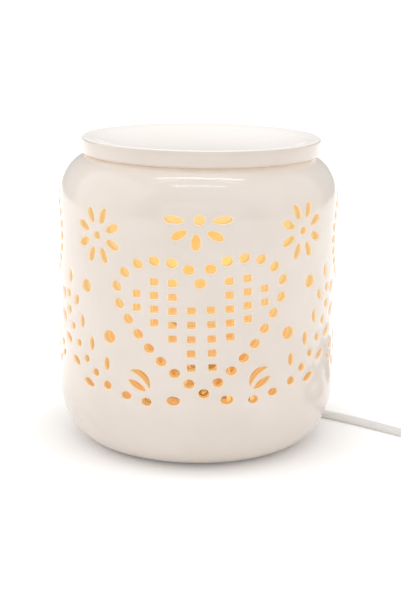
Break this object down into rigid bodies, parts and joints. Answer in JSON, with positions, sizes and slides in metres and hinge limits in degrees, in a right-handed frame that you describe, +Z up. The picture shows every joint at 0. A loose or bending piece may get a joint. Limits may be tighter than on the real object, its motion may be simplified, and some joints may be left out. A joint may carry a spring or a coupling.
{
  "type": "electric essential oil burner",
  "caption": "Pierced glazed ceramic jar lamp with a shallow lift-off oil dish on top, a reflector lamp inside, and a thin mains cord with an in-line switch and plug.",
  "frame": {"origin": "on the table, under the middle of the jar", "axes": "+Z up along the jar's axis, -Y towards the front of the jar, +X to its right"},
  "size_m": [0.2525, 0.1918, 0.1416],
  "materials": {
    "jar_glaze": "glossy",
    "dish_glaze": "glossy",
    "plate_plastic": "fine grained",
    "foot_rubber": "matte",
    "bracket_steel": "powder coated",
    "screw_steel": "zinc plated",
    "fibre": "matte",
    "steatite": "matte",
    "insulation": "matte",
    "brass": "satin",
    "cap_ceramic": "matte",
    "reflector": "polished",
    "lens_glass": "clear",
    "capsule_glass": "clear",
    "lead_sleeving": "braided glass fibre",
    "core_insulation": "smooth",
    "cord_plastic": "smooth",
    "switch_plastic": "smooth",
    "plug_plastic": "smooth",
    "pin_nickel": "nickel plated",
    "pin_insulation": "smooth"
  },
  "bodies": {
    "lamp_base": {"ceramic_body": "jar_glaze", "base_plate": "plate_plastic", "rubber_feet": "foot_rubber", "retaining_bar": "bracket_steel", "bar_pads": "fibre", "clamp_screws": "screw_steel", "clamp_nuts": "screw_steel", "lamp_bracket": "bracket_steel", "lampholder": "steatite", "holder_plate": "insulation", "holder_screws": "screw_steel", "holder_contacts": "brass", "terminal_block": "steatite", "terminal_sleeves": "brass", "terminal_screws": "screw_steel", "lamp_leads": "lead_sleeving", "cord_cores": "core_insulation", "cord_clamp_base": "plate_plastic", "cord_clamp_saddle": "plate_plastic", "saddle_screws": "screw_steel", "cord_grommet": "cord_plastic", "cord_inside": "cord_plastic", "cord_run": "cord_plastic", "cord_coil": "cord_plastic", "cord_link": "cord_plastic", "cord_tail": "cord_plastic", "switch_lower_shell": "switch_plastic", "switch_upper_shell": "switch_plastic", "switch_screws": "screw_steel", "switch_strips": "brass", "plug_body": "plug_plastic", "plug_pins": "pin_nickel", "plug_pin_sleeves": "pin_insulation"},
    "dish": {"oil_dish": "dish_glaze"},
    "bulb": {"bulb_cap": "cap_ceramic", "bulb_studs": "pin_nickel", "bulb_reflector": "reflector", "bulb_lens": "lens_glass", "bulb_capsule": "capsule_glass"},
    "rocker": {"switch_rocker": "switch_plastic"}
  },
  "joints": [
    {"name": "dish_lift", "type": "slide", "parent": "lamp_base", "child": "dish", "axis": [0, 0, 1], "range_m": [0, 0.05]},
    {"name": "bulb_twist", "type": "hinge", "parent": "lamp_base", "child": "bulb", "pos_m": [0, 0, 0.0535], "axis": [0, 0, 1], "range_deg": [0, 25]},
    {"name": "rocker_tilt", "type": "hinge", "parent": "lamp_base", "child": "rocker", "pos_m": [0.1765, 0.068, 0.0107], "axis": [1, 0, 0], "range_deg": [-14, 0]}
  ]
}
